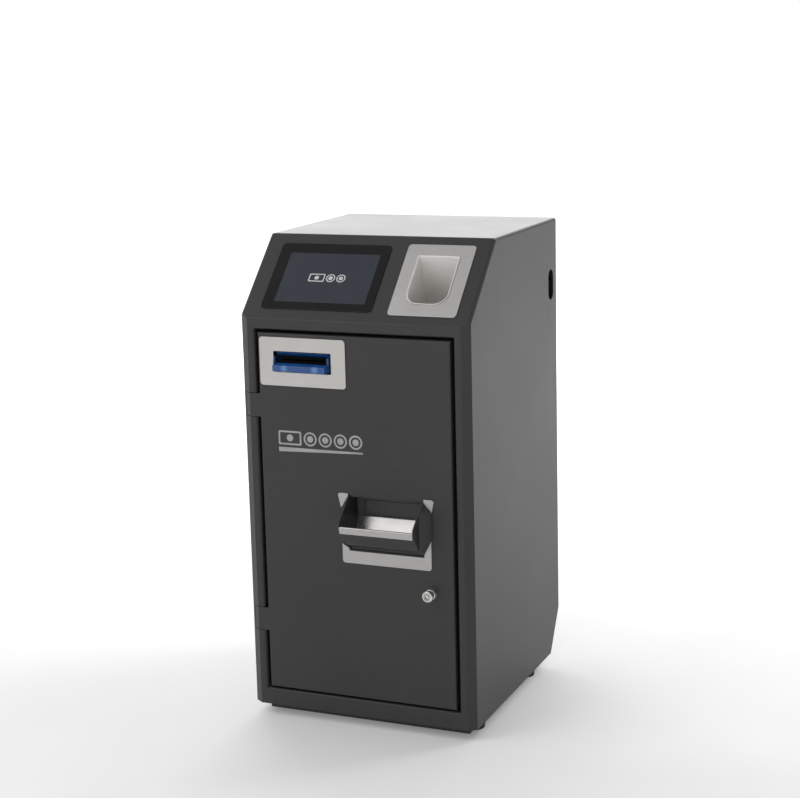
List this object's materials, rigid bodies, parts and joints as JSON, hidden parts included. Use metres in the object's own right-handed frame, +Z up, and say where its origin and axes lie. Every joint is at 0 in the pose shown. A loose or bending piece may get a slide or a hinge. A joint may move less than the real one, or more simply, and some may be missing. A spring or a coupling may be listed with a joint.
{
  "type": "cash handling cabinet",
  "caption": "Free-standing steel cabinet with a sloped console for a screen and coin funnel, and a hinged locking door with a note mouth and coin pay-out cup.",
  "frame": {"origin": "on the floor, under the middle of the bounding box", "axes": "+Z up, -Y is the side of the door and the console, +X to the right of a person who faces the door"},
  "size_m": [0.375, 0.4536, 0.754],
  "materials": {
    "cabinet_paint": "fine textured powder coat",
    "door_paint": "fine textured powder coat",
    "stainless": "brushed",
    "zinc_steel": "zinc plated",
    "bright_nickel": "polished nickel",
    "aluminium_case": "folded sheet",
    "screen_glass": "glossy",
    "blue_plastic": "glossy",
    "black_plastic": "fine grain",
    "module_plastic": "fine grain",
    "black_rubber": "matte"
  },
  "bodies": {
    "cabinet": {"left_side_panel": "cabinet_paint", "right_side_panel": "cabinet_paint", "console_and_top_panel": "cabinet_paint", "front_sill": "cabinet_paint", "base_pan": "cabinet_paint", "front_plinth_rail": "cabinet_paint", "rear_plinth_rail": "cabinet_paint", "rubber_feet": "black_rubber", "back_panel": "cabinet_paint", "connector_panel": "cabinet_paint", "back_panel_screws": "zinc_steel", "rear_lower_plate": "cabinet_paint", "mains_inlet": "black_plastic", "switch_bezel": "black_plastic", "socket_block": "black_plastic", "screen_glass": "screen_glass", "display_module": "aluminium_case", "display_tray": "zinc_steel", "coin_funnel_plate": "stainless", "coin_funnel_duct": "stainless", "hinge_brackets": "zinc_steel", "hinge_pins": "zinc_steel", "door_buffers": "black_rubber", "note_mouth": "blue_plastic", "note_validator": "module_plastic", "note_recycler": "module_plastic", "note_cash_box": "module_plastic", "coin_recycler": "module_plastic", "coin_payout_chute": "zinc_steel", "coin_cash_box": "module_plastic", "lower_shelf": "zinc_steel", "coin_shelf": "zinc_steel", "note_shelf": "zinc_steel", "electronics_shelf": "zinc_steel", "divider_wall": "zinc_steel", "controller_box": "aluminium_case", "power_supply": "aluminium_case"},
    "door": {"door_panel": "door_paint", "door_stiffeners": "zinc_steel", "hinge_knuckles": "zinc_steel", "note_plate": "stainless", "coin_plate": "stainless", "coin_cup": "stainless", "lock_barrel": "bright_nickel", "lock_nut": "zinc_steel"},
    "lock": {"lock_plug": "bright_nickel", "lock_cam": "zinc_steel", "cam_screw": "zinc_steel"},
    "rocker": {"power_rocker": "black_plastic"},
    "feed_disc": {"coin_feed_disc": "black_plastic"},
    "feed_roller": {"note_feed_roller": "black_rubber"},
    "pinch_roller": {"note_pinch_roller": "black_rubber"}
  },
  "joints": [
    {"name": "door_hinge", "type": "hinge", "parent": "cabinet", "child": "door", "pos_m": [-0.1723, -0.17625, 0.331], "axis": [0, 0, -1], "range_deg": [0, 110]},
    {"name": "lock_turn", "type": "hinge", "parent": "door", "child": "lock", "pos_m": [0.121, -0.18325, 0.23], "axis": [0, -1, 0], "range_deg": [0, 90]},
    {"name": "power_rocker_tilt", "type": "hinge", "parent": "cabinet", "child": "rocker", "pos_m": [0.078, 0.22105, 0.168], "axis": [1, 0, 0], "range_deg": [0, 12]},
    {"name": "coin_disc_spin", "type": "hinge", "parent": "cabinet", "child": "feed_disc", "pos_m": [0.1082, -0.07125, 0.527], "axis": [0, 0, 1], "continuous": true},
    {"name": "feed_roller_spin", "type": "hinge", "parent": "cabinet", "child": "feed_roller", "pos_m": [-0.0824, -0.13525, 0.56755], "axis": [1, 0, 0], "continuous": true},
    {"name": "pinch_roller_spin", "type": "hinge", "parent": "cabinet", "child": "pinch_roller", "pos_m": [-0.0824, -0.13525, 0.58195], "axis": [1, 0, 0], "continuous": true}
  ],
  "couplings": [
    {"joint": "pinch_roller_spin", "follows": "feed_roller_spin", "ratio": -1}
  ]
}
